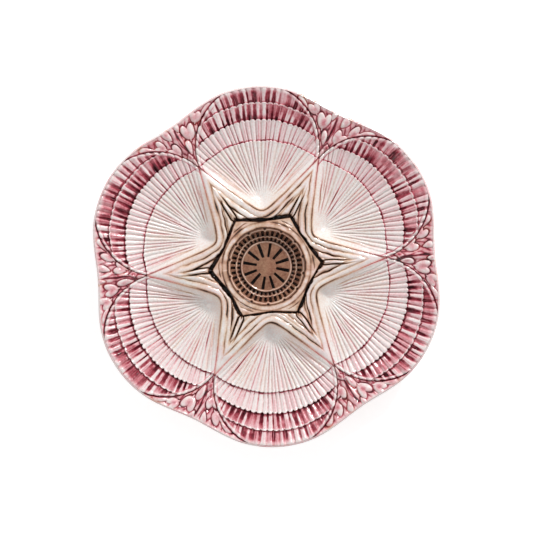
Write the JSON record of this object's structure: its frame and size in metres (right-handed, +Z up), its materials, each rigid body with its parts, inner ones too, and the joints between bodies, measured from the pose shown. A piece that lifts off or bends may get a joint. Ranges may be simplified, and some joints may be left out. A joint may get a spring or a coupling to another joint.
{
  "type": "oyster plate",
  "caption": "Moulded majolica oyster plate: ribbed scallop wells round a central sauce cup, with seaweed between them, a lobed rim and a foot ring.",
  "frame": {"origin": "the centre of the foot ring's standing face, on the table", "axes": "+Z up and square to the table, +Y out through the middle of one lobe of the rim, +X between two lobes"},
  "size_m": [0.2316, 0.245, 0.026],
  "materials": {
    "rose_shell_glaze": "glossy",
    "rose_weed_glaze": "glossy",
    "beige_glaze": "glossy",
    "cream_glaze": "glossy",
    "brown_glaze": "glossy",
    "bare_foot": "matte"
  },
  "bodies": {
    "root": {"shell_well_1": "rose_shell_glaze", "shell_well_2": "rose_shell_glaze", "shell_well_3": "rose_shell_glaze", "shell_well_4": "rose_shell_glaze", "shell_well_5": "rose_shell_glaze", "shell_well_6": "rose_shell_glaze", "seaweed_1": "rose_weed_glaze", "seaweed_2": "rose_weed_glaze", "seaweed_3": "rose_weed_glaze", "seaweed_4": "rose_weed_glaze", "seaweed_5": "rose_weed_glaze", "seaweed_6": "rose_weed_glaze", "stem_star": "beige_glaze", "collar": "cream_glaze", "sauce_cup": "brown_glaze", "foot_ring": "bare_foot"}
  },
  "joints": []
}
